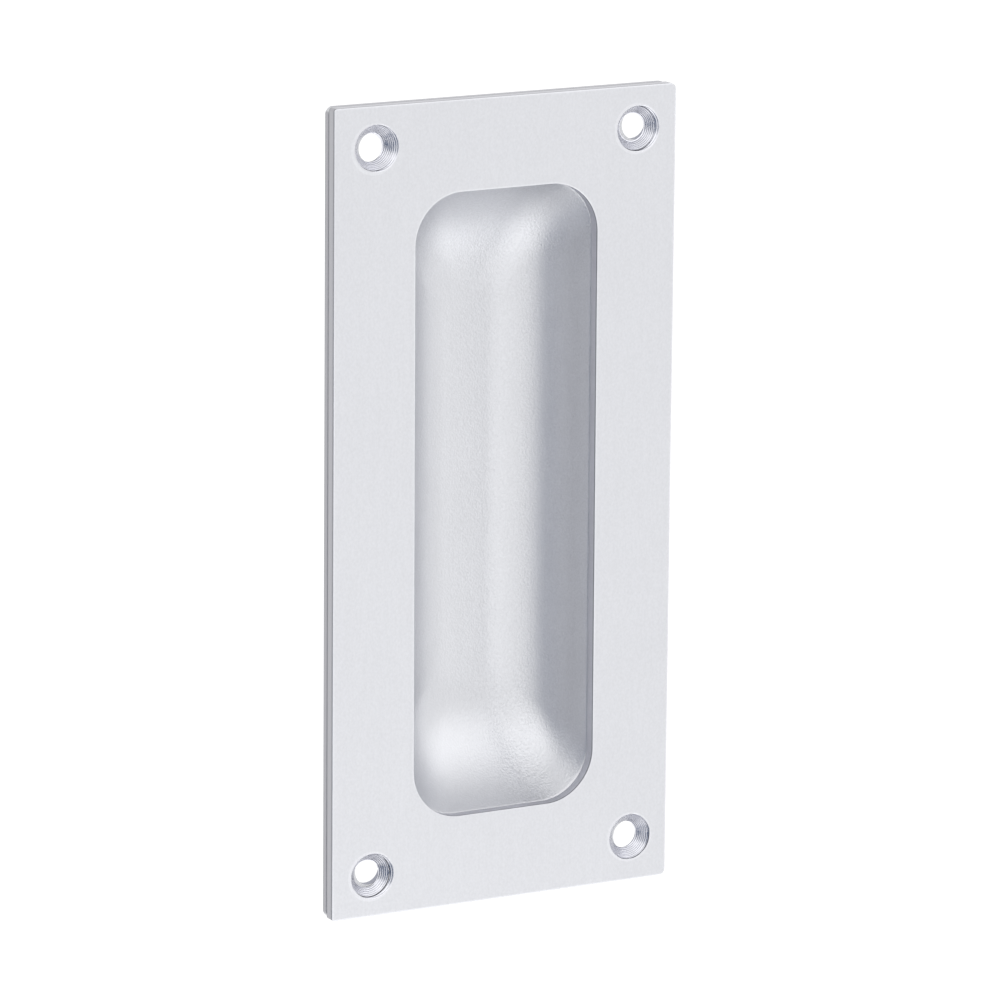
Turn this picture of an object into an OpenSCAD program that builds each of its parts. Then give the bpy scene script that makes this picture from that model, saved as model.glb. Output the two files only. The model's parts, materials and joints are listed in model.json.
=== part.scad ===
// Recessed pull handle for a sliding or flush door.
// A flat front plate with a window lies on a deep-drawn sheet pan whose flange has the same outline.
// Four countersunk screws pass through both sheets into the door.
// Millimetres. X is the width, Z is the height and the front faces -Y.
// The origin is the centre of the screw pattern, on the back of the flange, where it seats on the door.

/* [Front plate] */
// Width of the front plate
plate_w = 70; // [60:1:110]
// Height of the front plate
plate_h = 150; // [136:1:260]
// Thickness of the front plate
plate_t = 2.2; // [1.2:0.1:4]
// Corner radius of the front plate's outline
plate_corner_r = 1.2; // [0.6:0.1:8]
// Break along the long and short edges of both sheets
edge_break = 0.25; // [0.05:0.05:0.4]

/* [Window] */
// Width of the window in the front plate
window_w = 37.4; // [36:0.2:43]
// Height of the window in the front plate
window_h = 116.4; // [80:0.2:118]
// Corner radius of the window
window_corner_r = 9.5; // [6:0.1:12]
// Break along the window's front edge
window_break = 0.15; // [0.05:0.05:0.4]

/* [Recess pan] */
// Depth of the finger space, from the front face to the pan's floor
recess_depth = 16; // [12:0.5:19]
// Thickness of the pan's sheet
sheet_t = 1.5; // [0.8:0.1:2]
// Corner radius of the flange's outline
flange_corner_r = 2; // [0.6:0.1:8]
// Radius from the side walls into the floor
side_nose_r = 14; // [8:0.2:16]
// Lean of the side walls, in degrees from square
side_lean = 18; // [4:1:20]
// Radius of the long sweep from the floor up to each end
end_sweep_r = 24; // [18:0.5:34]
// Plan radius of the corners where they run out into the floor
floor_corner_r = 4; // [1:0.1:6]
// How far the corners open out half way down, beyond an even change of their radius
corner_swell = 2.6; // [0:0.1:4]
// Distance that the pan's mouth stands back from the window's edge
mouth_set_back = 0.1; // [0:0.05:0.5]
// Radius of the shoulder between flange and wall, on the finger side
shoulder_r = 0.5; // [0.3:0.1:1.5]
// Fillet between flange and wall, on the door side
back_fillet_r = 1; // [0.3:0.1:2]

/* [Screw holes] */
// Distance from the hole centres to the nearest edges of the plate
hole_inset = 8; // [6:0.5:10]
// Diameter of the screw holes
hole_d = 5.1; // [3:0.1:6]
// Diameter of the countersinks at the front face
countersink_d = 8.6; // [7:0.1:11]
// Full angle of the countersinks, in degrees
countersink_angle = 90; // [80:1:100]

/* [Smoothness] */
// Rings of facets on the bend from each side wall to the floor
nose_steps = 14; // [8:1:20]
// Facets along each corner of the pan
corner_steps = 11; // [6:1:16]

/* [Hidden] */

// Levels above the door, which is at 0
flange_front = sheet_t;
face_level = flange_front + plate_t;
floor_level = face_level - recess_depth;
// Height of the drawn wall, from the pan's floor to the front of the flange
draw = recess_depth - plate_t;

// Outline of the pan's mouth, at the front of the flange
mouth_w = window_w + 2 * mouth_set_back;
mouth_h = window_h + 2 * mouth_set_back;
mouth_corner_r = window_corner_r + mouth_set_back;

// Half sizes of the flat strip in the pan's floor
floor_half_w = mouth_w / 2 - wall_reach(side_nose_r, side_lean, draw);
floor_half_h = mouth_h / 2 - wall_reach(end_sweep_r, 0, draw);

// Most of the half width that a corner's radius may take, so that each end keeps a straight stretch
fullest_corner = 0.96;

// Rings of facets up the straight wall and round the shoulder
wall_steps = 4;
shoulder_steps = 4;

// How far a cutting body passes the surface that it opens
cut_over = 1;
// Smoothness of the full circles
$fn = 64;

// How far the wall has moved out from the flat floor when it has climbed by rise.
// The wall leaves the floor on an arc of radius r and goes on straight at its lean.
function wall_reach(r, lean, rise) =
    let (arc_rise = r * (1 - sin(lean)))
    rise <= arc_rise
        ? sqrt(max(0, r * r - (r - rise) * (r - rise)))
        : r * cos(lean) + (rise - arc_rise) * tan(lean);

// How far a bend of radius r has moved out, at a distance short of the plane that it runs into
function bend_reach(r, short) = short >= r ? 0 : r - sqrt(r * r - (r - short) * (r - short));

// Points of one rounded rectangle at height z, anticlockwise from above
function ring(half_w, half_h, r, z) = [
    for (corner = [0:3])
        for (step = [0:corner_steps])
            let (
                turn = 90 * (corner + step / corner_steps),
                side_x = corner == 0 || corner == 3 ? 1 : -1,
                side_y = corner < 2 ? 1 : -1
            )
            [side_x * (half_w - r) + r * cos(turn), side_y * (half_h - r) + r * sin(turn), z]
];

// Ring of the drawn form at one rise above the floor. The form is grown evenly by grow, and it
// bends outward with radius bend as it nears the rise top.
function form_ring(rise, grow, bend, top) =
    let (
        flare = bend_reach(bend, top - min(rise, top)),
        half_w = floor_half_w + wall_reach(side_nose_r + grow, side_lean, rise + grow),
        half_h = floor_half_h + wall_reach(end_sweep_r + grow, 0, rise + grow),
        sunk = min(1, max(0, (draw - rise) / (draw + grow))),
        even_r = mouth_corner_r + (floor_corner_r - mouth_corner_r) * sunk,
        swollen_r = even_r + corner_swell * 4 * sunk * (1 - sunk) + grow,
        r = min(swollen_r, fullest_corner * half_w)
    )
    ring(half_w + flare, half_h + flare, r + flare, floor_level + rise);

// Rises of all the rings, from the floor to the top, closer together where the form bends more
function form_rises(grow, bend, top, end) =
    let (
        r = side_nose_r + grow,
        wall_start = min(r * (1 - sin(side_lean)) - grow, top - bend)
    )
    concat(
        [for (i = [0:nose_steps]) (wall_start + grow) * (1 - sin(90 * (1 - i / nose_steps))) - grow],
        [for (i = [1:wall_steps]) wall_start + (top - bend - wall_start) * i / wall_steps],
        [for (i = [1:shoulder_steps]) top - bend * (1 - sin(90 * i / shoulder_steps))],
        [end]
    );

// Closed solid through a list of rings that all have the same number of points
module ring_loft(rings) {
    n = len(rings[0]);
    last = len(rings) - 1;
    walls = [
        for (i = [0:last - 1])
            for (k = [0:n - 1])
                let (a = i * n + k, b = i * n + (k + 1) % n)
                each [[a, a + n, b + n], [a, b + n, b]]
    ];
    bottom = [for (k = [0:n - 1]) k];
    lid = [for (k = [n - 1:-1:0]) last * n + k];
    polyhedron(points = [for (one = rings) each one], faces = concat(walls, [bottom, lid]));
}

// Form of the drawn recess as a solid, from its floor up to the rise end
module drawn_form(grow, bend, top, end) {
    ring_loft([for (rise = form_rises(grow, bend, top, end)) form_ring(rise, grow, bend, top)]);
}

// Solid on a rounded rectangle. Its edge is a list of [distance outside the outline, height] points.
module edged_slab(w, h, r, edge) {
    bottom = edge[0][1];
    top = edge[len(edge) - 1][1];
    for (x = [-1, 1], y = [-1, 1])
        translate([x * (w / 2 - r), y * (h / 2 - r), 0])
            rotate_extrude()
                polygon(concat([[0, bottom]], [for (p = edge) [r + p[0], p[1]]], [[0, top]]));
    rotate([90, 0, 0])
        edged_bar(w / 2, h - 2 * r, edge);
    rotate([90, 0, 90])
        edged_bar(h / 2, w - 2 * r, edge);
}

// Straight bar with the same edge on its left and right, centred along its length
module edged_bar(half, length, edge) {
    last = len(edge) - 1;
    linear_extrude(length, center = true)
        polygon(concat(
            [for (p = edge) [half + p[0], p[1]]],
            [for (i = [last:-1:0]) [-half - edge[i][0], edge[i][1]]]
        ));
}

// Sheet of the plate's outline, with its edges broken on both faces
module sheet(bottom, t, corner_r) {
    edged_slab(plate_w, plate_h, corner_r, [
        [-edge_break, bottom],
        [0, bottom + edge_break],
        [0, bottom + t - edge_break],
        [-edge_break, bottom + t]
    ]);
}

// What the drill takes away: four holes through both sheets, with countersinks at the front
module screw_cut() {
    flare = tan(countersink_angle / 2);
    sink = (countersink_d - hole_d) / 2 / flare;
    for (x = [-1, 1], y = [-1, 1])
        translate([x * (plate_w / 2 - hole_inset), y * (plate_h / 2 - hole_inset), 0]) {
            translate([0, 0, -cut_over])
                cylinder(h = face_level + 2 * cut_over, d = hole_d);
            translate([0, 0, face_level - sink])
                cylinder(h = sink + cut_over, d1 = hole_d, d2 = countersink_d + 2 * cut_over * flare);
        }
}

// Window through the front plate, with its front edge broken
module window_cut() {
    edged_slab(window_w, window_h, window_corner_r, [
        [0, flange_front - cut_over],
        [0, face_level - window_break],
        [window_break + cut_over, face_level + cut_over]
    ]);
}

// Flat plate that the hand sees first
module front_plate() {
    color([0.86, 0.87, 0.89])
        rotate([90, 0, 0])
            difference() {
                sheet(flange_front, plate_t, plate_corner_r);
                window_cut();
                screw_cut();
            }
}

// Sheet pan drawn from one blank: the flange behind the plate and the recess for the fingers
module recess_pan() {
    color([0.8, 0.81, 0.84])
        rotate([90, 0, 0])
            difference() {
                union() {
                    sheet(0, sheet_t, flange_corner_r);
                    drawn_form(sheet_t, back_fillet_r, draw - sheet_t, draw - sheet_t / 2);
                }
                drawn_form(0, shoulder_r, draw, draw + cut_over);
                screw_cut();
            }
}

front_plate();
recess_pan();
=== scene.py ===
"""Dresses the recessed pull handle in satin anodised aluminium and sets it in a plain studio."""
import json
import math

import bmesh
import bpy
from bpy.props import FloatProperty, FloatVectorProperty, PointerProperty
from mathutils import Matrix, Vector


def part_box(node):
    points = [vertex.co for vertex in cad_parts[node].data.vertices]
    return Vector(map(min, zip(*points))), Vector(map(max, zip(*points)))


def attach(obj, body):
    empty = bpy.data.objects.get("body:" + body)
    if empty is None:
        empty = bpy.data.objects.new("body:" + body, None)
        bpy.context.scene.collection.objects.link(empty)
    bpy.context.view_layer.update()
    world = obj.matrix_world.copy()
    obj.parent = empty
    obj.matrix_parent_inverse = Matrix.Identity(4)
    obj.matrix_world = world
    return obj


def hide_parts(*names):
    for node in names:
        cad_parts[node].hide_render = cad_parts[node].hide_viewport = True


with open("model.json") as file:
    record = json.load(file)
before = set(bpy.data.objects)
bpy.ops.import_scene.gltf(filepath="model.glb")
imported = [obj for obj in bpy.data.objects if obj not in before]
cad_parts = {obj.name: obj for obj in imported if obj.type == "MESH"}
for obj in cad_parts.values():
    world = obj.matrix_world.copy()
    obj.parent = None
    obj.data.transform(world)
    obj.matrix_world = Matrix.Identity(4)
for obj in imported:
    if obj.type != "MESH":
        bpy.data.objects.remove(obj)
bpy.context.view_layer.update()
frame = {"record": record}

bl_info = {
    "name": "Recessed pull handle",
    "version": (1, 0, 0),
    "blender": (4, 5, 0),
    "location": "3D View > Sidebar > Pull handle",
    "description": "Models a recessed pull handle in satin anodised aluminium and stages it",
    "category": "Object",
}

MM = 0.001

# What the frame says: its whole box, the two sheets and the pattern of the screw holes
PLATE_LOW, PLATE_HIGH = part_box("front_plate")
_, PAN_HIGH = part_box("recess_pan")
SCREWS = next(
    mount["dims"] for mount in frame["record"]["mounts"] if mount["name"] == "screw_holes"
)

# Levels along Y: the face that the hand meets, the seam between the sheets, the door's face
# and the back of the pan
FACE_Y = PLATE_LOW.y
SEAM_Y = PLATE_HIGH.y
SEAT_Y = 0.0
BACK_Y = PAN_HIGH.y


def length(name, description, millimetres):
    """A length that a user can change, shown in the scene's own units."""
    return FloatProperty(
        name=name,
        description=description,
        default=millimetres * MM,
        min=0.0,
        precision=5,
        unit="LENGTH",
    )


class PlateSizes(bpy.types.PropertyGroup):
    """Sizes of the front plate that the frame doesn't give."""

    corner: length("Corner radius", "Radius of the plate's corners on the right", 1.2)
    left_corner: length("Left corner radius", "Radius of the plate's corners on the left", 0.6)
    edge_break: length("Edge break", "Small radius along the outer edges of both sheets", 0.12)
    window_width: length("Window width", "Width of the window", 37.4)
    window_height: length("Window height", "Height of the window", 116.4)
    window_corner: length("Window corner radius", "Corner radius of the window", 9.5)
    window_break: length("Window break", "Small radius along the window's front edge", 0.1)
    window_shift: length(
        "Window shift", "How far to the right of the middle the window and the pan lie", 0.3
    )
    window_turn: FloatProperty(
        name="Window turn",
        description="How far the window and the pan are turned anticlockwise, seen from the front",
        default=math.radians(0.17),
        subtype="ANGLE",
    )
    sink_width: length("Countersink width", "Diameter of a countersink at the face", 8.6)
    sink_skirt: length(
        "Countersink skirt", "How far outside a countersink the tool may have marked", 1.0
    )


class PanSizes(bpy.types.PropertyGroup):
    """Sizes of the drawn pan that the frame doesn't give."""

    sheet: length("Sheet thickness", "Thickness of the pan's sheet", 1.5)
    corner: length("Flange corner radius", "Radius of the flange's corners on the right", 2.0)
    left_corner: length(
        "Left flange corner radius", "Radius of the flange's corners on the left", 1.4
    )
    side_nose: length("Side nose radius", "Radius from the side walls into the floor", 14.0)
    side_lean: FloatProperty(
        name="Side lean",
        description="Lean of the side walls from square",
        default=math.radians(18),
        subtype="ANGLE",
    )
    end_sweep: length("End sweep radius", "Radius of the long sweep up to each end", 24.0)
    floor_corner: length("Floor corner radius", "Plan radius of the corners at the floor", 4.0)
    corner_swell: length("Corner swell", "How far the corners open out half way down", 2.6)
    set_back: length(
        "Mouth set back", "How far the pan's mouth stands behind the window's edge", 0.1
    )
    shoulder: length("Shoulder radius", "Radius from the flange into the wall, finger side", 0.5)
    back_fillet: length("Back fillet", "Radius from the flange into the wall, door side", 1.0)
    clearance: length(
        "Hole clearance", "How much wider in radius the flange's holes are than the plate's", 0.2
    )


def share(name, description, default):
    """A share from 0 to 1 that a user can change."""
    return FloatProperty(
        name=name, description=description, default=default, subtype="FACTOR", min=0.0, max=1.0
    )


def tint(name, description, default):
    """A colour that a user can change."""
    return FloatVectorProperty(
        name=name, description=description, default=default, subtype="COLOR", min=0.0, max=1.0
    )


class FinishLooks(bpy.types.PropertyGroup):
    """Colour and sheen of the anodised sheets."""

    plate_colour: tint("Plate colour", "Colour of the front plate's face", (0.629, 0.635, 0.662))
    pan_colour: tint("Pan colour", "Colour of the drawn pan", (0.644, 0.65, 0.675))
    cut_colour: tint("Cut colour", "Colour of the sheets' cut edges", (0.5, 0.5, 0.53))
    # Painted shade for the drilled walls deep inside the holes
    bore_shade_colour: tint("Bore colour", "Colour of the flange's drilled walls", (0.36, 0.37, 0.43))
    # The countersinks' colour is a little bluer than the face's, as painted shade
    sink_colour: tint(
        "Countersink colour", "Colour of the turned countersinks", (0.635, 0.64, 0.685)
    )
    plate_roughness: share("Plate roughness", "Roughness of the front plate's face", 0.42)
    pan_roughness: share("Pan roughness", "Roughness of the pan", 0.42)
    cut_roughness: share("Cut roughness", "Roughness of the cut edges", 0.42)
    sink_roughness: share("Countersink roughness", "Roughness of the turned countersinks", 0.3)
    streaks: share("Streaks", "Strength of the upright streaks on the front plate", 0.5)
    grain: share("Grain", "Strength of the pearly grain on the pan", 0.5)
    chatter: share("Chatter", "Strength of the tool's rings in the countersinks", 0.5)


# Width of the camera's sensor in millimetres
SENSOR_WIDTH = 36.0


class StageLooks(bpy.types.PropertyGroup):
    """The studio round the handle and its camera."""

    floor_drop: length("Floor drop", "How far the floor lies below the handle", 500.0)
    floor_lift: share(
        "Floor lift", "Light that the floor adds for the camera and in reflections", 0.3
    )
    lens: FloatProperty(
        name="Lens",
        description="Focal length on a 36 mm sensor, in millimetres",
        default=232.98,
        min=1.0,
    )


class HandleSettings(bpy.types.PropertyGroup):
    """Everything that can be changed about the handle and its studio."""

    plate: PointerProperty(type=PlateSizes)
    pan: PointerProperty(type=PanSizes)
    finish: PointerProperty(type=FinishLooks)
    stage: PointerProperty(type=StageLooks)


# Smoothness of the meshes: steps round the window's and the pan's corners, the corners of both
# sheets, a broken edge, the nose bend, up the straight wall, round a shoulder and round a hole
CORNER_STEPS = 24
SMALL_CORNER_STEPS = 10
BREAK_STEPS = 3
NOSE_STEPS = 44
WALL_STEPS = 6
BEND_STEPS = 6
HOLE_STEPS = 144
# How many pieces each level and each upright side of the drawn form is cut into
DRAWN_STRAIGHTS = (8, 24)
# Distance between the rings of points round a countersink
HOLE_RINGS = 0.06 * MM
# Most of the half width that a corner of the drawn form may take
FULLEST_CORNER = 0.96
# Least radius of a loop's corner where the outline is inset
LEAST_CORNER = 0.05 * MM
# Width of the flat margin that keeps a bend's shading out of the flat face beside it
MARGIN = 0.3 * MM
# Edges that turn more sharply than this stay crisp
CRISP_ANGLE = math.radians(32)
# Points closer than this are one, and points this close in depth are level
SAME_PLACE = 0.001 * MM
SAME_LEVEL = 0.01 * MM

# Run of a straight wall that the countersinking tool left, and the slope of its shallow cut
WALL_RUN = 0.06 * MM
SHALLOW_SLOPE = 0.9
# Least height of a hole's straight land below its countersink
LEAST_LAND = 0.05 * MM
# How the tools wandered at each hole, by the hole's side, in mm: how far off its place the plate's
# hole is, where the deep cut and the shallow one lie beside it, how much wider the deep one is, the
# height of its straight wall and its slope
WANDER = {
    (-1, 1): {
        "hole": (0.1, 0.2),
        "deep": (0.25, 0.2),
        "shallow": (0.6, 0.15),
        "grown": -0.1,
        "wall": 0.35,
        "slope": 1.05,
    },
    (1, 1): {
        "hole": (-0.1, 0.1),
        "deep": (0.0, 0.0),
        "shallow": (0.35, 0.0),
        "grown": -0.15,
        "wall": 0.5,
        "slope": 1.1,
    },
    (-1, -1): {
        "hole": (0.05, -0.45),
        "deep": (0.0, 0.1),
        "shallow": (0.35, 0.05),
        "grown": -0.2,
        "wall": 0.7,
        "slope": 0.95,
    },
    (1, -1): {
        "hole": (0.2, 0.25),
        "deep": (0.1, 0.0),
        "shallow": (0.15, 0.1),
        "grown": 0.0,
        "wall": 0.2,
        "slope": 1.1,
    },
}
# How far off its place each of the flange's holes is, in mm
FLANGE_WANDER = {
    (-1, 1): (0.75, 0.1),
    (1, 1): (0.65, 0.5),
    (-1, -1): (0.6, 0.15),
    (1, -1): (0.8, 0.0),
}


def hole_centre(side, wander):
    """Centre of the screw hole on one side, as an [x, z] pair, a little off its place."""
    half_x = SCREWS["spacing_x_mm"] / 2
    half_z = SCREWS["spacing_y_mm"] / 2
    return (side[0] * half_x + wander[0]) * MM, (side[1] * half_z + wander[1]) * MM


def outline(mesh, half_w, half_h, radius, depth, steps, straights=(1, 1), left_radius=None):
    """Add a rounded rectangle at Y = depth and return its edges.

    Each level and each upright side is cut into as many pieces as straights says. The corners on
    the left may have a radius of their own.
    """
    across, up = straights
    corners, points = [], []
    for x, z, pieces in ((1, 1, across), (-1, 1, up), (-1, -1, across), (1, -1, up)):
        corners.append(mesh.verts.new((x * half_w, depth, z * half_h)))
        points.append(corners[-1])
        for step in range(1, pieces):
            slide = 1 - 2 * step / pieces
            if x == z:
                place = (x * slide * (half_w - radius), depth, z * half_h)
            else:
                place = (x * half_w, depth, z * slide * (half_h - radius))
            points.append(mesh.verts.new(place))
    for pair in zip(points, points[1:] + points[:1]):
        mesh.edges.new(pair)
    ring = []
    for group, offset in ((corners[0::3], radius), (corners[1:3], left_radius or radius)):
        rounded = bmesh.ops.bevel(
            mesh,
            geom=group + list(edges_at(group)),
            offset=offset,
            offset_type="OFFSET",
            segments=steps,
            profile=0.5,
            affect="VERTICES",
            material=-1,
        )
        ring += rounded["verts"]
    ring += [point for point in points if point.is_valid]
    return list(edges_at(ring))


def edges_at(verts):
    """All the edges that meet these vertices."""
    return {edge for vert in verts for edge in vert.link_edges}


def set_askew(mesh, loops, plate):
    """Shift and turn loops of edges a little, as the window and the pan lie in the real sheets."""
    verts = list({vert for loop in loops for edge in loop for vert in edge.verts})
    turn = Matrix.Rotation(-plate.window_turn, 3, "Y")
    bmesh.ops.rotate(mesh, cent=(0, 0, 0), matrix=turn, verts=verts)
    bmesh.ops.translate(mesh, vec=(plate.window_shift, 0, 0), verts=verts)


def loft(mesh, loops):
    """Skin a run of closed loops, each to the next.

    The first and the last pair, which may be flat rings, are skinned while they are bare: with
    faces beside it, a flat ring can come out twisted.
    """
    pairs = list(zip(loops, loops[1:]))
    for one, following in pairs[:1] + pairs[:0:-1]:
        bmesh.ops.bridge_loops(mesh, edges=one + following)


def broken(front, size):
    """Insets and depths round an edge that is broken with a small radius, from its front face."""
    turns = [math.pi / 2 * step / BREAK_STEPS for step in range(BREAK_STEPS + 1)]
    return [(size * (1 - math.sin(turn)), front + size * (1 - math.cos(turn))) for turn in turns]


def sheet_edge(mesh, front, back, size, corners):
    """Skin the outer edge of a sheet, broken on both faces, and return its two flat rims.

    The sheet lies between the depths front and back, and its corner radii are those on the right
    and on the left.
    """
    half_w = (PLATE_HIGH.x - PLATE_LOW.x) / 2
    half_h = (PLATE_HIGH.z - PLATE_LOW.z) / 2
    fore = broken(front, size)
    aft = [(inset, back - (depth - front)) for inset, depth in reversed(fore)]
    loops = []
    for inset, depth in ((size + MARGIN, front), *fore, *aft, (size + MARGIN, back)):
        radius, left_radius = (max(one - inset, LEAST_CORNER) for one in corners)
        loops.append(
            outline(
                mesh,
                half_w - inset,
                half_h - inset,
                radius,
                depth,
                SMALL_CORNER_STEPS,
                left_radius=left_radius,
            )
        )
    loft(mesh, loops)
    return loops[0], loops[-1]


def spin_hole(mesh, centre, profile):
    """Turn a profile of [radius, depth] points about a hole's axis.

    Returns the new vertices and the edges of the first and the last point's circle.
    """
    known_verts = set(mesh.verts)
    x, z = centre
    points = [mesh.verts.new((x + radius, depth, z)) for radius, depth in profile]
    lines = [mesh.edges.new(pair) for pair in zip(points, points[1:])]
    bmesh.ops.spin(
        mesh,
        geom=points + lines,
        cent=(x, 0, z),
        axis=(0, 1, 0),
        angle=2 * math.pi,
        steps=HOLE_STEPS,
        use_merge=True,
    )
    made = [vert for vert in mesh.verts if vert not in known_verts]
    rims = {edge for vert in made for edge in vert.link_edges if len(edge.link_faces) == 1}
    ends = []
    for depth in (profile[0][1], profile[-1][1]):
        ends.append([edge for edge in rims if abs(edge.verts[0].co.y - depth) < SAME_LEVEL])
    return made, ends


def fill(mesh, loops):
    """Close a flat face between its outer rim and the rims of its openings."""
    bmesh.ops.triangle_fill(
        mesh, edges=[edge for loop in loops for edge in loop], use_beauty=True, use_dissolve=False
    )


def finished_piece(name, mesh, body, slot, *stands_for):
    """Turn a closed bmesh into an object that rides on its body in place of its CAD node."""
    bmesh.ops.remove_doubles(mesh, verts=mesh.verts, dist=SAME_PLACE)
    bmesh.ops.recalc_face_normals(mesh, faces=mesh.faces)
    for face in mesh.faces:
        face.smooth = True
    for edge in mesh.edges:
        edge.smooth = edge.is_manifold and edge.calc_face_angle(0) < CRISP_ANGLE
    data = bpy.data.meshes.new(name)
    mesh.to_mesh(data)
    mesh.free()
    piece = bpy.data.objects.new(name, data)
    bpy.context.scene.collection.objects.link(piece)
    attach(piece, body)
    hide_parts(*stands_for)
    return piece


class HANDLE_OT_front_plate(bpy.types.Operator):
    """Model the flat front plate with its window and its four countersunk holes"""

    bl_idname = "handle.front_plate"
    bl_label = "Front plate"

    def execute(self, context):
        sizes = context.scene.handle.plate
        mesh = bmesh.new()
        corners = (sizes.corner, sizes.left_corner)
        ends = [
            sheet_edge(mesh, FACE_Y, SEAM_Y, sizes.edge_break, corners),
            self.window(mesh, sizes),
        ]
        for side, wander in WANDER.items():
            centre = hole_centre(side, wander["hole"])
            ends.append(self.screw_hole(mesh, centre, sizes, wander))
        for rims in zip(*ends):
            fill(mesh, rims)
        piece = finished_piece("front_plate_satin", mesh, "root", "plate_satin", "front_plate")
        piece.data.materials.append(plate_finish(context.scene.handle.finish, sizes))
        return {"FINISHED"}

    def window(self, mesh, sizes):
        """Skin the window's edge and return its rims on the front and on the back."""
        half_w, half_h = sizes.window_width / 2, sizes.window_height / 2
        corner, size = sizes.window_corner, sizes.window_break
        profile = [(size + MARGIN, FACE_Y), *broken(FACE_Y, size), (0, SEAM_Y), (MARGIN, SEAM_Y)]
        loops = [
            outline(mesh, half_w + out, half_h + out, corner + out, depth, CORNER_STEPS)
            for out, depth in profile
        ]
        set_askew(mesh, loops, sizes)
        loft(mesh, loops)
        return loops[0], loops[-1]

    def screw_hole(self, mesh, centre, sizes, wander):
        """Skin one countersunk hole and return its rims on the front and on the back."""
        hole_r = SCREWS["hole_r_mm"] * MM
        sink_r = sizes.sink_width / 2
        rings = round((sink_r + sizes.sink_skirt - hole_r) / HOLE_RINGS)
        profile = [(hole_r + HOLE_RINGS * step, FACE_Y) for step in range(rings, -1, -1)]
        profile += [(hole_r, SEAM_Y), (hole_r + MARGIN, SEAM_Y)]
        made, ends = spin_hole(mesh, centre, profile)
        deepest = SEAM_Y - FACE_Y - LEAST_LAND
        for vert in made:
            if vert.co.y < SEAM_Y - LEAST_LAND:
                x, z = vert.co.x - centre[0], vert.co.z - centre[1]
                vert.co.y += min(deepest, self.cut_depth(x, z, sink_r, wander))
        return ends

    def cut_depth(self, x, z, sink_r, wander):
        """How deep the tools cut at a point beside a hole: a deep cone, a shallow one round it."""
        deep_x, deep_z = wander["deep"]
        shallow_x, shallow_z = wander["shallow"]
        deep = sink_r + wander["grown"] * MM - math.hypot(x - deep_x * MM, z - deep_z * MM)
        shallow = sink_r - math.hypot(x - shallow_x * MM, z - shallow_z * MM)
        wall = wander["wall"] * MM * min(1.0, max(0.0, deep / WALL_RUN))
        return max(0.0, wall + wander["slope"] * deep, SHALLOW_SLOPE * shallow)


def wall_reach(radius, lean, rise):
    """How far a wall has moved out from the floor at a rise: round an arc, then at its lean."""
    arc_rise = radius * (1 - math.sin(lean))
    if rise <= arc_rise:
        return math.sqrt(max(0.0, radius**2 - (radius - rise) ** 2))
    return radius * math.cos(lean) + (rise - arc_rise) * math.tan(lean)


def bend_reach(radius, short):
    """How far a bend has moved out, at a distance short of the plane that it runs into."""
    return 0.0 if short >= radius else radius - math.sqrt(radius**2 - (radius - short) ** 2)


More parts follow.
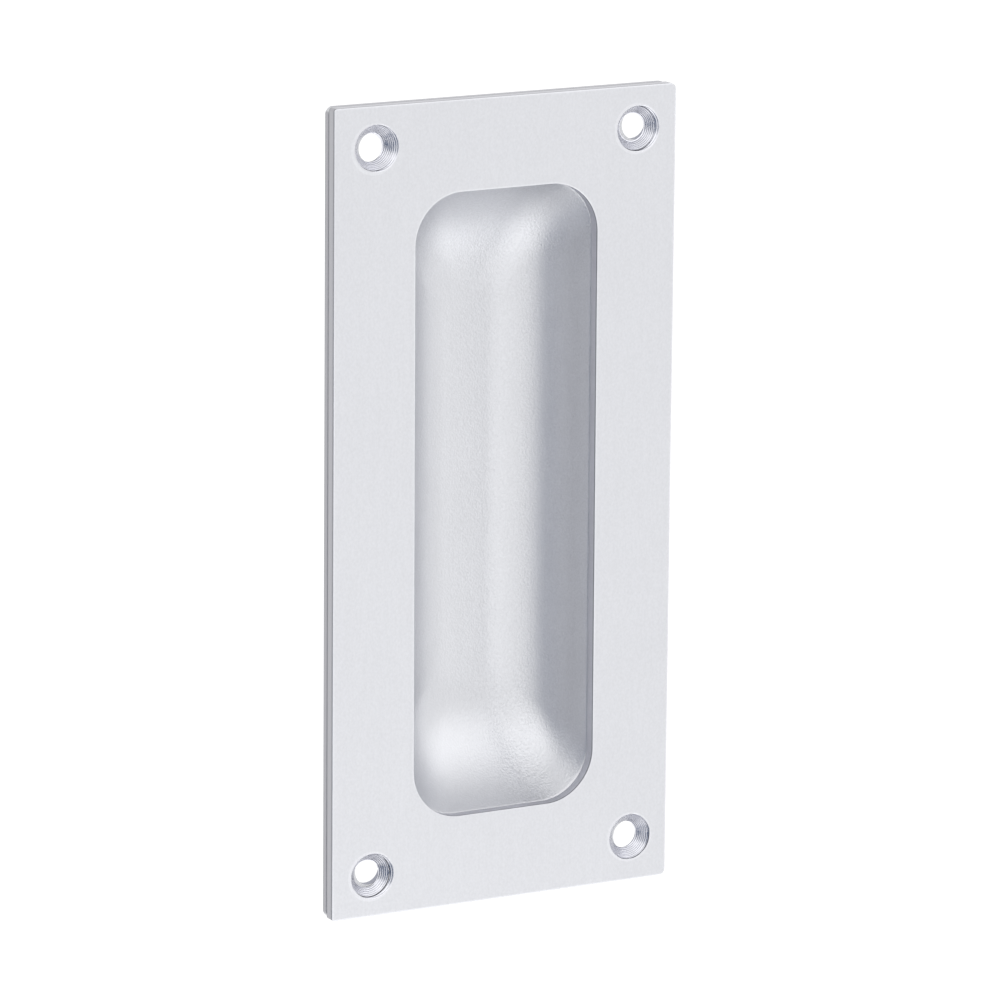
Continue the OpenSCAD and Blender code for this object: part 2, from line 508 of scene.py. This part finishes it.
class HANDLE_OT_recess_pan(bpy.types.Operator):
    """Model the deep-drawn sheet pan with its flange and its four screw holes"""

    bl_idname = "handle.recess_pan"
    bl_label = "Recess pan"

    def execute(self, context):
        plate, pan = context.scene.handle.plate, context.scene.handle.pan
        mesh = bmesh.new()
        floor_y = BACK_Y - pan.sheet
        inner = self.drawn_side(mesh, plate, pan, 0.0, pan.shoulder, floor_y - SEAM_Y)
        outer = self.drawn_side(mesh, plate, pan, pan.sheet, pan.back_fillet, floor_y - SEAT_Y)
        corners = (pan.corner, pan.left_corner)
        ends = [
            (inner[-1], outer[-1]),
            sheet_edge(mesh, SEAM_Y, SEAT_Y, plate.edge_break, corners),
        ]
        hole_r = SCREWS["hole_r_mm"] * MM + pan.clearance
        profile = [
            (hole_r + MARGIN, SEAM_Y),
            (hole_r, SEAM_Y),
            (hole_r, SEAT_Y),
            (hole_r + MARGIN, SEAT_Y),
        ]
        for side, wander in FLANGE_WANDER.items():
            _, hole_ends = spin_hole(mesh, hole_centre(side, wander), profile)
            ends.append(hole_ends)
        for rims in zip(*ends):
            fill(mesh, rims)
        # The flange is filled first, because points just off a straight line make it come out torn
        set_askew(mesh, inner + outer, plate)
        piece = finished_piece("recess_pan_satin", mesh, "root", "pan_satin", "recess_pan")
        piece.data.materials.append(pan_finish(context.scene.handle.finish))
        return {"FINISHED"}

    def drawn_side(self, mesh, plate, pan, grow, bend, top):
        """Skin one side of the drawn sheet and return its loops, from the floor to the flange."""
        floor_y = BACK_Y - pan.sheet
        draw = floor_y - SEAM_Y
        mouth_w = plate.window_width / 2 + pan.set_back
        mouth_h = plate.window_height / 2 + pan.set_back
        mouth_r = plate.window_corner + pan.set_back
        floor_w = mouth_w - wall_reach(pan.side_nose, pan.side_lean, draw)
        floor_h = mouth_h - wall_reach(pan.end_sweep, 0.0, draw)

        nose = pan.side_nose + grow
        wall_start = min(nose * (1 - math.sin(pan.side_lean)) - grow, top - bend)
        arc = math.acos(1 - (wall_start + grow) / nose)
        rises = [
            nose * (1 - math.cos(arc * step / NOSE_STEPS)) - grow for step in range(NOSE_STEPS + 1)
        ]
        rises += [
            wall_start + (top - bend - wall_start) * step / WALL_STEPS
            for step in range(1, WALL_STEPS + 1)
        ]
        rises += [
            top - bend * (1 - math.sin(math.pi / 2 * step / BEND_STEPS))
            for step in range(1, BEND_STEPS + 1)
        ]

        shapes = []
        for rise in rises:
            flare = bend_reach(bend, top - rise)
            sunk = min(1.0, max(0.0, (draw - rise) / (draw + grow)))
            half_w = floor_w + wall_reach(nose, pan.side_lean, rise + grow)
            half_h = floor_h + wall_reach(pan.end_sweep + grow, 0.0, rise + grow)
            even_r = mouth_r + (pan.floor_corner - mouth_r) * sunk
            swollen_r = even_r + pan.corner_swell * 4 * sunk * (1 - sunk) + grow
            radius = min(swollen_r, FULLEST_CORNER * half_w)
            shapes.append((half_w + flare, half_h + flare, radius + flare, floor_y - rise))
        half_w, half_h, radius, _ = shapes[-1]
        shapes.append((half_w + MARGIN, half_h + MARGIN, radius + MARGIN, floor_y - top))
        loops = [
            outline(mesh, *shape, CORNER_STEPS, straights=DRAWN_STRAIGHTS) for shape in shapes
        ]
        loft(mesh, loops)
        fill(mesh, loops[:1])
        return loops


# Numbers of a Mix node's colour sockets, whose names it shares with its other kinds
MIX_FACTOR, MIX_ONE, MIX_OTHER = 0, 6, 7
MIX_RESULT = 2
# What spreads a noise node's numbers, once they lie about 0, over nearly 1 to each side
NOISE_SPREAD = 3
# How far a normal points to the front or the back where a surface starts and ends to be steep
STEEP = (0.6, 0.35)
# Unit of the bumps' heights
MICROMETRE = 0.001 * MM


class Number:
    """A number that runs through a material's nodes, so that shader maths reads as plain maths."""

    def __init__(self, finish, socket):
        self.finish = finish
        self.socket = socket

    def __add__(self, other):
        return self.finish.maths("ADD", self, other)

    def __radd__(self, other):
        return self.finish.maths("ADD", other, self)

    def __sub__(self, other):
        return self.finish.maths("SUBTRACT", self, other)

    def __rsub__(self, other):
        return self.finish.maths("SUBTRACT", other, self)

    def __mul__(self, other):
        return self.finish.maths("MULTIPLY", self, other)

    def __rmul__(self, other):
        return self.finish.maths("MULTIPLY", other, self)

    def __pow__(self, other):
        return self.finish.maths("POWER", self, other)

    def __rpow__(self, other):
        return self.finish.maths("POWER", other, self)

    def __abs__(self):
        return self.finish.maths("ABSOLUTE", self)


class Outputs:
    """The outputs of one node, each read by its name as a Number."""

    def __init__(self, finish, node):
        self.finish = finish
        self.node = node

    def __getitem__(self, name):
        return Number(self.finish, self.node.outputs[name])


class Finish:
    """A node material that is built up with one method."""

    def __init__(self, name):
        self.material = bpy.data.materials.new(name)
        self.material.use_nodes = True
        self.tree = self.material.node_tree
        self.tree.nodes.clear()

    def node(self, kind, settings=None, sockets=None):
        """Add a node, set its settings, then give each named or numbered input a value or link."""
        node = self.tree.nodes.new(kind)
        for name, value in (settings or {}).items():
            setattr(node, name, value)
        for name, value in (sockets or {}).items():
            if isinstance(value, Number):
                self.tree.links.new(value.socket, node.inputs[name])
            else:
                node.inputs[name].default_value = value
        return Outputs(self, node)

    def maths(self, operation, *terms):
        """Add a Math node that works on these terms, and return what it gives."""
        sockets = dict(enumerate(terms))
        return self.node("ShaderNodeMath", {"operation": operation}, sockets)["Value"]

    def place(self, stretch=(1, 1, 1)):
        """Object coordinates in millimetres, drawn out along each axis."""
        coordinates = self.node("ShaderNodeTexCoord")
        scale = [1 / (MM * drawn) for drawn in stretch]
        sockets = {"Vector": coordinates["Object"], "Scale": scale}
        return self.node("ShaderNodeMapping", {}, sockets)["Vector"]

    def axes(self):
        """Object coordinates in millimetres, as three numbers."""
        parts = self.node("ShaderNodeSeparateXYZ", {}, {"Vector": self.place()})
        return parts["X"], parts["Y"], parts["Z"]

    def noise(self, size, detail=2.0, roughness=0.5, stretch=(1, 1, 1)):
        """Noise about 0, nearly all within 1 of it, with marks about size millimetres across."""
        sockets = {
            "Vector": self.place(stretch),
            "Scale": 1 / size,
            "Detail": detail,
            "Roughness": roughness,
        }
        noise = self.node("ShaderNodeTexNoise", {"noise_dimensions": "3D"}, sockets)
        return (noise["Fac"] - 0.5) * NOISE_SPREAD

    def climb(self, value, low, high, start=0.0, end=1.0):
        """A smooth climb from start to end, as the value goes from low to high."""
        sockets = {
            "Value": value,
            "From Min": low,
            "From Max": high,
            "To Min": start,
            "To Max": end,
        }
        settings = {"interpolation_type": "SMOOTHSTEP"}
        return self.node("ShaderNodeMapRange", settings, sockets)["Result"]

    def blend(self, factor, one, other):
        """A colour that goes from one to the other with the factor."""
        sockets = {MIX_FACTOR: factor, MIX_ONE: one, MIX_OTHER: other}
        return self.node("ShaderNodeMix", {"data_type": "RGBA"}, sockets)[MIX_RESULT]

    def shade(self, colour, level):
        """A colour made lighter or darker by a level that is near 1."""
        sockets = {0: colour, "Scale": level}
        return self.node("ShaderNodeVectorMath", {"operation": "SCALE"}, sockets)["Vector"]

    def steepness(self):
        """1 where the surface stands square to the sheets, and 0 where it leans or lies flat."""
        normal = self.node("ShaderNodeTexCoord")["Normal"]
        across = self.node("ShaderNodeSeparateXYZ", {}, {"Vector": normal})["Y"]
        return self.climb(abs(across), *STEEP)

    def bump(self, height, depth):
        """A bumped normal from a height, where 1 stands depth metres above 0."""
        return self.node("ShaderNodeBump", {}, {"Height": height, "Distance": depth})["Normal"]

    def surface(self, inputs):
        """Finish the material with a Principled surface and return the material."""
        shader = self.node("ShaderNodeBsdfPrincipled", {}, inputs)
        self.node("ShaderNodeOutputMaterial", {}, {"Surface": shader["BSDF"]})
        return self.material


# Where the finishes change: pairs of distances in mm, for the start and the end of each change
# From a hole's axis: the marks of the countersinking tool, and the flange's drilled wall
TOOL_REACH = (5.8, 5.4)
BORE_REACH = (3.4, 3.2)
# In from the outline: the band of the outer cut edges, the flange's cut edge, the long sides
OUTER_BAND = (4.0, 3.0)
FLANGE_CUT = (0.2, 0.05)
LONG_SIDE = (0.8, 0.3)
# Below the face: the plate's cut edges, the painted shade lines at their front and back, the
# countersinks
PLATE_CUT = (0.05, 0.15)
PLATE_LIP = (0.5, 0.3)
PLATE_FOOT = (1.75, 2.0)
SINK_START = (0.02, 0.1)
RING_START = (0.02, 0.12)
# From an edge of the face, and below it: the band of painted highlight along the edges. It starts
# this far outside a countersink's own radius
HIGHLIGHT_BAND = (0.4, 0.15)
HIGHLIGHT_DEPTH = (0.1, 0.02)
HIGHLIGHT_RIM = 0.15
# Below the seam: the shade round the mouth, the middle of the flange's cut edge and, from there,
# the painted shade lines at its front and back
SEAM_SHADE = (0.05, 0.5)
FLANGE_MIDDLE = 0.75
FLANGE_ARRIS = (0.4, 0.62)
# Across the pan: the start and end of the bend at the right, the start of its lower corner, and
# the right wall. Up the pan: its lower and its upper end
BEND_START = (-7.0, 4.0)
BEND_END = (15.0, 11.0)
CORNER_START = (3.0, 7.0)
RIGHT_WALL = (14.0, 16.0)
LOWER_END = (-30.0, -48.0)
UPPER_END = (38.0, 48.0)
# Distance in mm from one of the tool's rings to the next
RING_PITCH = 0.26


def from_hole(finish, wanders):
    """Distance in millimetres from the axis of the nearest screw hole."""
    x, _, z = finish.axes()
    distances = []
    for side, wander in wanders.items():
        centre_x, centre_z = hole_centre(side, wander)
        across, up = x - centre_x / MM, z - centre_z / MM
        distances.append((across * across + up * up) ** 0.5)
    nearest = distances.pop()
    for distance in distances:
        nearest = finish.maths("MINIMUM", nearest, distance)
    return nearest


def from_rim(finish):
    """Distance in millimetres in from the sheets' outline."""
    x, _, z = finish.axes()
    to_side = PLATE_HIGH.x / MM - abs(x)
    return finish.maths("MINIMUM", to_side, PLATE_HIGH.z / MM - abs(z))


def long_side(finish, x):
    """1 at the sheets' long sides and 0 elsewhere."""
    start, end = (PLATE_HIGH.x / MM - inset for inset in LONG_SIDE)
    return finish.climb(abs(x), start, end)


def from_window(finish, plate):
    """Distance in millimetres outside the window's outline."""
    x, _, z = finish.axes()
    corner = plate.window_corner / MM
    across = abs(x + z * math.tan(plate.window_turn) - plate.window_shift / MM)
    across = across - (plate.window_width / 2 / MM - corner)
    up = abs(z) - (plate.window_height / 2 / MM - corner)
    across, up = (finish.maths("MAXIMUM", side, 0.0) for side in (across, up))
    return (across * across + up * up) ** 0.5 - corner


def plate_finish(looks, plate):
    """Satin anodised sheet: a nearly smooth face, duller cut edges and turned countersinks."""
    finish = Finish("plate_satin")
    x, y, _ = finish.axes()
    below_face = y - FACE_Y / MM
    rim = from_rim(finish)
    hole = from_hole(finish, {side: wander["hole"] for side, wander in WANDER.items()})

    # Faint upright streaks, broad clouds and a very fine grain on the face
    streaks = finish.noise(0.6, detail=3.0, stretch=(1, 1, 20)) * looks.streaks
    clouds = finish.noise(26.0, detail=1.0)
    fine = finish.noise(0.4, detail=2.0, stretch=(1, 1, 1.3))
    level = 1 + streaks * 0.03 + clouds * 0.008 + fine * 0.05

    # The cut edges are darker, with blotches; painted shade draws a dark line at each arris and
    # darkens them most at the long sides, and painted light makes them lighter in the window
    in_hole = finish.climb(hole, *TOOL_REACH)
    cut = finish.climb(below_face, *PLATE_CUT) * (1 - in_hole)
    blotches = finish.noise(1.3, detail=3.0, roughness=0.6, stretch=(1, 0.5, 6)) * 0.06
    blotches = blotches + finish.noise(0.25, detail=1.0, stretch=(1, 8, 1)) * 0.04
    outer = finish.climb(rim, *OUTER_BAND)
    lip_shade = finish.climb(below_face, *PLATE_LIP)
    foot_shade = finish.climb(below_face, *PLATE_FOOT)
    cut_level = (1 + blotches) * (1 - lip_shade * (0.5 - outer * 0.12)) * (1 - foot_shade * outer * 0.22)
    cut_level = cut_level * (1.34 - outer * (0.15 + long_side(finish, x) * 0.29))

    # Painted highlight: the face is a little brighter along its edges and round the countersinks
    edge = finish.maths("MINIMUM", rim, from_window(finish, plate))
    to_sink = abs(hole - plate.sink_width / 2 / MM - HIGHLIGHT_RIM)
    edge = finish.maths("MINIMUM", edge, to_sink)
    painted_edge_highlight = finish.climb(edge, *HIGHLIGHT_BAND) * finish.climb(below_face, *HIGHLIGHT_DEPTH)
    painted_edge_highlight = painted_edge_highlight * (0.8 + clouds * 0.4)

    # The countersinking tool leaves fine rings that fade in and out round the cone; painted shade
    # darkens the cone's steep walls
    ring_turn = (below_face + finish.noise(1.4) * 0.03) * (2 * math.pi / RING_PITCH)
    rings = finish.maths("SINE", ring_turn) * (0.8 + finish.noise(1.1, detail=2.0) * 0.9)
    rings = rings * looks.chatter * finish.climb(below_face, *RING_START) * in_hole
    sunk = finish.climb(below_face, *SINK_START) * in_hole
    steep_wall_shade = finish.steepness() * sunk

    colour = finish.shade(looks.plate_colour[:], level + painted_edge_highlight * 0.1)
    turned = finish.shade(looks.sink_colour[:], (level + rings * 0.45) * (1 - steep_wall_shade * 0.75))
    colour = finish.blend(sunk, colour, turned)
    colour = finish.blend(cut, colour, finish.shade(looks.cut_colour[:], cut_level))
    roughness = looks.plate_roughness + streaks * 0.03 + clouds * 0.012 - painted_edge_highlight * 0.05
    roughness = roughness * (1 - sunk) + (looks.sink_roughness + rings * 0.1) * sunk
    roughness = roughness * (1 - cut) + (looks.cut_roughness + blotches) * cut
    height = fine * 0.4 + streaks * 0.4 + rings * 24 + blotches * cut * 20
    return finish.surface(
        {
            "Base Color": colour,
            "Metallic": 1.0,
            "Roughness": roughness,
            "Normal": finish.bump(height, MICROMETRE),
        }
    )


def pan_finish(looks):
    """Satin anodised sheet with a fine pearly grain, made stronger as painted glints where the
    highlights lie.
    """
    finish = Finish("pan_satin")
    x, y, z = finish.axes()
    below_seam = y - SEAM_Y / MM
    rim = from_rim(finish)

    grain = finish.noise(0.4, detail=2.0, roughness=0.6, stretch=(1, 1, 1.1)) * looks.grain
    # The grain is stronger, as painted glints where the highlights lie: over the bend at the right,
    # most in its lower corner, at the upper end and on the right wall
    bend = finish.climb(x, *BEND_START) * finish.climb(x, *BEND_END)
    low = finish.climb(z, *LOWER_END)
    corner = low * finish.climb(x, *CORNER_START)
    glint_mask = bend * (0.35 + corner * 0.75) + finish.climb(z, *UPPER_END) * 0.45
    glint_mask = glint_mask + finish.climb(x, *RIGHT_WALL) * 0.4 - (low - corner) * 0.2
    grain = grain * (0.6 + glint_mask)
    clouds = finish.noise(14.0, detail=2.0)
    draw_lines = finish.noise(0.5, detail=2.0, stretch=(1, 1, 12))
    level = 1 + grain * 0.16 + clouds * 0.012 + draw_lines * 0.012
    # A little shade gathers in the seam round the mouth
    level = level * finish.climb(below_seam, *SEAM_SHADE, start=0.85)

    # The flange's cut edge is duller, with blotches along its length; painted shade draws a dark
    # line at each arris and darkens it at the long sides
    cut = finish.climb(rim, *FLANGE_CUT)
    blotches = finish.noise(1.6, detail=3.0, roughness=0.6, stretch=(1, 0.5, 6)) * 0.07
    blotches = blotches + finish.noise(0.25, detail=1.0, stretch=(1, 8, 1)) * 0.04
    arris_shade = finish.climb(abs(below_seam - FLANGE_MIDDLE), *FLANGE_ARRIS)
    cut_level = (1 + blotches) * (1 - arris_shade * 0.22) * (1.06 - long_side(finish, x) * 0.22)
    # Painted shade: the drilled walls of the screw holes are coloured dark, where shade falls deep
    # in the holes
    in_bore = finish.climb(from_hole(finish, FLANGE_WANDER), *BORE_REACH)
    bore_shade = in_bore * finish.steepness()

    colour = finish.shade(looks.pan_colour[:], level)
    colour = finish.blend(cut, colour, finish.shade(looks.cut_colour[:], cut_level))
    colour = finish.blend(bore_shade, colour, looks.bore_shade_colour[:] + (1,))
    roughness = looks.pan_roughness + grain * 0.1 + clouds * 0.015
    roughness = roughness * (1 - cut) + (looks.cut_roughness + blotches) * cut
    height = grain * 24 + draw_lines * 0.3 + blotches * cut * 8
    return finish.surface(
        {
            "Base Color": colour,
            "Metallic": 1.0,
            "Roughness": roughness,
            "Normal": finish.bump(height, 2 * MICROMETRE),
        }
    )


# How the photograph's camera is turned, in degrees
CAMERA_YAW = 28.549
CAMERA_PITCH = 12.778
CAMERA_ROLL = -0.5126
# Where the middle of the front face lies in the camera's view: right, down and away, in metres
CAMERA_SIGHT = Vector((0.7558, 0.4284, 1180.78)) * MM

# Soft boxes: name, azimuth and elevation in degrees, distance, width and height in metres, and
# how bright each one looks beside the white world
SOFT_BOXES = (
    ("soft_box_top_left", -28, 32, 0.9, 0.9, 0.65, 0.59),
    ("soft_box_top_right", 38, 32, 0.9, 0.9, 0.65, 0.61),
    ("soft_box_overhead", 10, 62, 0.9, 1.0, 0.4, 0.24),
    ("soft_box_right", 60, -8, 0.9, 0.25, 0.4, 0.77),
    ("soft_box_middle", 10, -20, 0.9, 0.3, 0.3, 0.58),
    ("soft_box_low", 20, -57, 0.55, 0.6, 0.25, 0.85),
)
# The dark card's azimuth and elevation in degrees and distance, its width and height, in metres,
# and its colour
CARD_PLACE = (-80, -18, 0.47)
CARD_SIZE = (0.38, 0.72)
CARD_COLOUR = (0.02, 0.065, 0.16, 1)
# The floor's half width in metres and its colour, and the colour of the world
FLOOR_REACH = 30.0
FLOOR_COLOUR = (0.8, 0.8, 0.8, 1)
WHITE = (1, 1, 1, 1)


class HANDLE_OT_stage(bpy.types.Operator):
    """Set up the camera, the floor and the soft studio light"""

    bl_idname = "handle.stage"
    bl_label = "Stage"

    def execute(self, context):
        self.camera(context)
        self.light(context)
        self.floor(context)
        self.card()
        context.scene.view_settings.view_transform = "Standard"
        return {"FINISHED"}

    def camera(self, context):
        """Put the camera where the photograph was taken from."""
        yaw, pitch, roll = (math.radians(turn) for turn in (CAMERA_YAW, CAMERA_PITCH, CAMERA_ROLL))
        level = math.cos(pitch)
        ahead = Vector((math.sin(yaw) * level, math.cos(yaw) * level, -math.sin(pitch)))
        right = Vector((math.cos(yaw), -math.sin(yaw), 0))
        down = ahead.cross(right)
        rolled_right = right * math.cos(roll) + down * math.sin(roll)
        rolled_down = down * math.cos(roll) - right * math.sin(roll)
        across, below, away = CAMERA_SIGHT
        eye = Vector((0, FACE_Y, 0)) - across * rolled_right - below * rolled_down - away * ahead
        data = bpy.data.cameras.new("photo_camera")
        data.lens = context.scene.handle.stage.lens
        data.sensor_width = SENSOR_WIDTH
        camera = bpy.data.objects.new("photo_camera", data)
        turn = Matrix((rolled_right, -rolled_down, -ahead)).transposed().to_4x4()
        camera.matrix_world = Matrix.Translation(eye) @ turn
        context.scene.collection.objects.link(camera)
        context.scene.camera = camera

    def light(self, context):
        """Light the studio softly, with a white world and soft boxes in front."""
        world = bpy.data.worlds.new("studio")
        world.use_nodes = True
        world.node_tree.nodes["Background"].inputs["Color"].default_value = WHITE
        context.scene.world = world
        for name, azimuth, elevation, distance, width, height, glow in SOFT_BOXES:
            data = bpy.data.lights.new(name, "AREA")
            data.shape = "RECTANGLE"
            data.size, data.size_y = width, height
            data.energy = math.pi * width * height * glow
            lamp = bpy.data.objects.new(name, data)
            lamp.matrix_world = facing(azimuth, elevation, distance)
            lamp.visible_camera = False
            context.scene.collection.objects.link(lamp)

    def floor(self, context):
        """Lay a wide pale floor that shows white and still takes a shadow."""
        looks = context.scene.handle.stage
        mesh = bmesh.new()
        bmesh.ops.create_grid(mesh, x_segments=1, y_segments=1, size=FLOOR_REACH)
        bmesh.ops.translate(mesh, verts=mesh.verts, vec=(0, 0, -looks.floor_drop))
        finish = Finish("floor_white")
        ray = finish.node("ShaderNodeLightPath")
        seen = ray["Is Camera Ray"] + ray["Is Glossy Ray"] + ray["Is Transmission Ray"]
        matt = finish.node("ShaderNodeBsdfDiffuse", {}, {"Color": FLOOR_COLOUR})
        lift = finish.node("ShaderNodeEmission", {}, {"Strength": seen * looks.floor_lift})
        both = finish.node("ShaderNodeAddShader", {}, {0: matt["BSDF"], 1: lift["Emission"]})
        finish.node("ShaderNodeOutputMaterial", {}, {"Surface": both["Shader"]})
        self.staged("floor", mesh, finish.material)

    def card(self):
        """Stand a dark blue card at the left, so that what faces that way falls off in tone."""
        mesh = bmesh.new()
        bmesh.ops.create_grid(mesh, x_segments=1, y_segments=1, size=1.0)
        width, height = CARD_SIZE
        bmesh.ops.scale(mesh, vec=(width / 2, height / 2, 1), verts=mesh.verts)
        bmesh.ops.transform(mesh, matrix=facing(*CARD_PLACE), verts=mesh.verts)
        finish = Finish("card_blue")
        matt = finish.node("ShaderNodeBsdfDiffuse", {}, {"Color": CARD_COLOUR})
        finish.node("ShaderNodeOutputMaterial", {}, {"Surface": matt["BSDF"]})
        card = self.staged("dark_card", mesh, finish.material)
        card.visible_camera = False

    def staged(self, name, mesh, material):
        """Turn a bmesh into a thing of the stage, which isn't part of the handle."""
        data = bpy.data.meshes.new(name)
        mesh.to_mesh(data)
        mesh.free()
        data.materials.append(material)
        thing = bpy.data.objects.new(name, data)
        bpy.context.scene.collection.objects.link(thing)
        return thing


def facing(azimuth, elevation, distance):
    """Place of a thing that stands off in a direction and looks back at the handle.

    An azimuth of 0 is straight in front, and 90 is to the right.
    """
    turn, rise = math.radians(azimuth), math.radians(elevation)
    level = math.cos(rise)
    away = Vector((math.sin(turn) * level, -math.cos(turn) * level, math.sin(rise)))
    return Matrix.Translation(away * distance) @ away.to_track_quat("Z", "Y").to_matrix().to_4x4()


class HANDLE_PT_sidebar(bpy.types.Panel):
    """Lists the handle's sizes and looks, and a button for each piece"""

    bl_idname = "HANDLE_PT_sidebar"
    bl_label = "Recessed pull handle"
    bl_space_type = "VIEW_3D"
    bl_region_type = "UI"
    bl_category = "Pull handle"

    def draw(self, context):
        settings = context.scene.handle
        for title, group, operator in (
            ("Front plate", settings.plate, HANDLE_OT_front_plate),
            ("Recess pan", settings.pan, HANDLE_OT_recess_pan),
            ("Finish", settings.finish, None),
            ("Stage", settings.stage, HANDLE_OT_stage),
        ):
            box = self.layout.box()
            box.label(text=title)
            for name in group.__annotations__:
                box.prop(group, name)
            if operator:
                box.operator(operator.bl_idname)


CLASSES = (
    PlateSizes,
    PanSizes,
    FinishLooks,
    StageLooks,
    HandleSettings,
    HANDLE_OT_front_plate,
    HANDLE_OT_recess_pan,
    HANDLE_OT_stage,
    HANDLE_PT_sidebar,
)


def register():
    for kind in CLASSES:
        bpy.utils.register_class(kind)
    bpy.types.Scene.handle = PointerProperty(type=HandleSettings)


def unregister():
    del bpy.types.Scene.handle
    for kind in reversed(CLASSES):
        bpy.utils.unregister_class(kind)


def main():
    """Build the pieces and the stage in order."""
    register()
    bpy.ops.handle.front_plate()
    bpy.ops.handle.recess_pan()
    bpy.ops.handle.stage()


if __name__ == "__main__":
    main()
